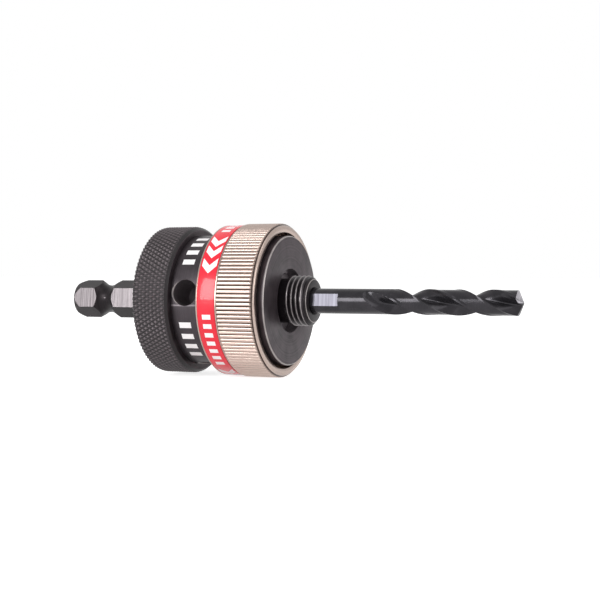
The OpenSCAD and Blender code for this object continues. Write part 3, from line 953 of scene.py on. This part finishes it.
def drill_shank():
    """The plain round part, with the flat ground from its back end to a step."""
    flat_r = drill_r - 0.39
    flat_end = 14.0
    around = 180
    plain_end = 20.0
    chamfer = 0.5
    half_angle = math.degrees(math.acos(flat_r / drill_r))
    angles = [hole_angle - half_angle + 2 * half_angle * i / 20 for i in range(20)]
    rest = 360 - 2 * half_angle
    angles += [hole_angle + half_angle + rest * i / around for i in range(around)]
    rings = []
    for x, flat, r in (
            (drill_back, True, drill_r - chamfer), (drill_back + chamfer, True, drill_r),
            (0, True, drill_r), (flat_end, True, drill_r),
            (flat_end + 0.01, False, drill_r), (plain_end, False, drill_r)):
        ring = []
        for a in angles:
            off = abs((a - hole_angle + 180) % 360 - 180)
            limit = flat_r / math.cos(math.radians(off)) if flat and off < half_angle else r
            ring.append((x, *at_angle(min(r, limit), a)))
        rings.append(ring)
    points, faces = wrap(rings, start=(drill_back, 0, 0), end=(plain_end, 0, 0))
    shank = piece("drill_shank", points, faces, "spindle_assembly", drill_oxide, crease=15)
    near = Vector((0, *at_angle(1, hole_angle)))
    paint(shank, [ground_flat],
          lambda x, r, face: face.normal.dot(near) > 0.9995 and x < flat_end)


pilot_drill()
drill_shank()

# %% [markdown]
# ## Parts that keep their solid
# The small parts inside are simple turned or stamped steel, and their solids already have the
# right shape. They only need a finish.

# %% Finishes for the small parts


def dress(names, material):
    for name in names:
        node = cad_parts[name]
        node.data.materials.clear()
        node.data.materials.append(material)
        print(f"{name}: {material.name}")


dress(["collar_dowels", "stop_pin", "thrust_balls", "rear_race"], hard_steel_and_point_highlight)
dress(["collar_ring", "plate_ring", "set_screw"], oxide)
dress(["dust_seal"], rubber)
dress(["ball_cage"], brass)

# %% [markdown]
# ## Studio
# A pale floor and a white surround. Both are white only to the camera, to glossy and to
# transmission rays, so that they don't flood the object with light. Other rays find a dim fill.

# %% Floor and surround


def seen_or_mirrored(tree):
    """1 for a camera, glossy or transmission ray, and 0 for the rays that light the object."""
    path = add_node(tree, "ShaderNodeLightPath")
    mirrored = add_node(tree, "ShaderNodeMath", {"operation": "MAXIMUM"},
                        _0=path.outputs["Is Glossy Ray"], _1=path.outputs["Is Transmission Ray"])
    seen = add_node(tree, "ShaderNodeMath", {"operation": "MAXIMUM"},
                    _0=path.outputs["Is Camera Ray"], _1=mirrored.outputs[0])
    return seen.outputs[0]


def surround():
    world = bpy.data.worlds.new("studio")
    world.use_nodes = True
    tree = world.node_tree
    tree.nodes.clear()
    fill = add_node(tree, "ShaderNodeBackground", {"Strength": 0.5})
    fill.inputs["Color"].default_value = (1, 1, 1, 1)
    bright = add_node(tree, "ShaderNodeBackground", {"Strength": 1.0})
    bright.inputs["Color"].default_value = (1, 1, 1, 1)
    mix = add_node(tree, "ShaderNodeMixShader", Fac=seen_or_mirrored(tree),
                   _1=fill.outputs[0], _2=bright.outputs[0])
    add_node(tree, "ShaderNodeOutputWorld", Surface=mix.outputs[0])
    bpy.context.scene.world = world


def floor():
    size = 3.0
    z = -collar_r * MM
    mesh = bpy.data.meshes.new("floor")
    mesh.from_pydata([(-size, -size, z), (size, -size, z), (size, size, z), (-size, size, z)], [],
                     [[0, 1, 2, 3]])
    material, tree, shader = new_material("pale_floor", Roughness=0.9, Specular_IOR_Level=0.1)
    shader.inputs["Base Color"].default_value = linear("#e8e8e8")
    shader.inputs["Emission Color"].default_value = (1, 1, 1, 1)
    glow = add_node(tree, "ShaderNodeMath", {"operation": "MULTIPLY"}, _0=seen_or_mirrored(tree))
    glow.inputs[1].default_value = 0.75
    join(tree, glow.outputs[0], shader, "Emission Strength")
    mesh.materials.append(material)
    obj = bpy.data.objects.new("floor", mesh)
    bpy.context.scene.collection.objects.link(obj)
    print(f"floor at {z / MM:.1f} mm")


surround()
floor()

# %% [markdown]
# The key lamp is a soft box to the left of the camera, which draws the bright line along the
# drill. The top lamp shapes the collars, and the front one reaches the plate and the nose. The
# camera's direction comes from its two angles, and its lens from the fit to the photograph.

# %% Lamps and camera


def soft_lamp(name, direction, distance, width, height, watts):
    """An area lamp that faces the object from a direction, as a soft box does."""
    light = bpy.data.lights.new(name, "AREA")
    light.shape = "RECTANGLE"
    light.size = width
    light.size_y = height
    light.energy = watts
    obj = bpy.data.objects.new(name, light)
    out = Vector(direction).normalized()
    obj.location = out * distance
    obj.rotation_euler = (-out).to_track_quat("-Z", "Y").to_euler()
    bpy.context.scene.collection.objects.link(obj)
    print(f"lamp {name}: {watts} W")


def camera():
    """23.6 degrees round from square to the axis and 1.4 up, a third of a metre away."""
    azimuth = math.radians(23.6)
    elevation = math.radians(1.42)
    distance = 0.3316
    pixels_wide = 600
    lens_pixels = 1310
    pixels_down = 0.75
    aim = Vector((0.0026, 0, 0))
    back = Vector((math.sin(azimuth) * math.cos(elevation),
                   -math.cos(azimuth) * math.cos(elevation), math.sin(elevation)))
    data = bpy.data.cameras.new("camera")
    data.sensor_width = 36
    data.lens = data.sensor_width * lens_pixels / pixels_wide
    data.shift_y = pixels_down / pixels_wide
    data.clip_start = 0.01
    obj = bpy.data.objects.new("camera", data)
    obj.location = aim + back * distance
    obj.rotation_euler = back.to_track_quat("Z", "Y").to_euler()
    bpy.context.scene.collection.objects.link(obj)
    bpy.context.scene.camera = obj
    print(f"camera: {data.lens:.1f} mm lens, {distance} m away")


soft_lamp("key", (-0.42, -0.9, 0.27), distance=0.6, width=0.22, height=0.3, watts=2.3)
soft_lamp("top", (0.3, -0.2, 1.0), distance=0.7, width=0.6, height=0.4, watts=1.2)
soft_lamp("front", (0.95, -0.1, 0.25), distance=0.6, width=0.3, height=0.3, watts=1.6)
camera()
bpy.context.scene.view_settings.view_transform = "Standard"
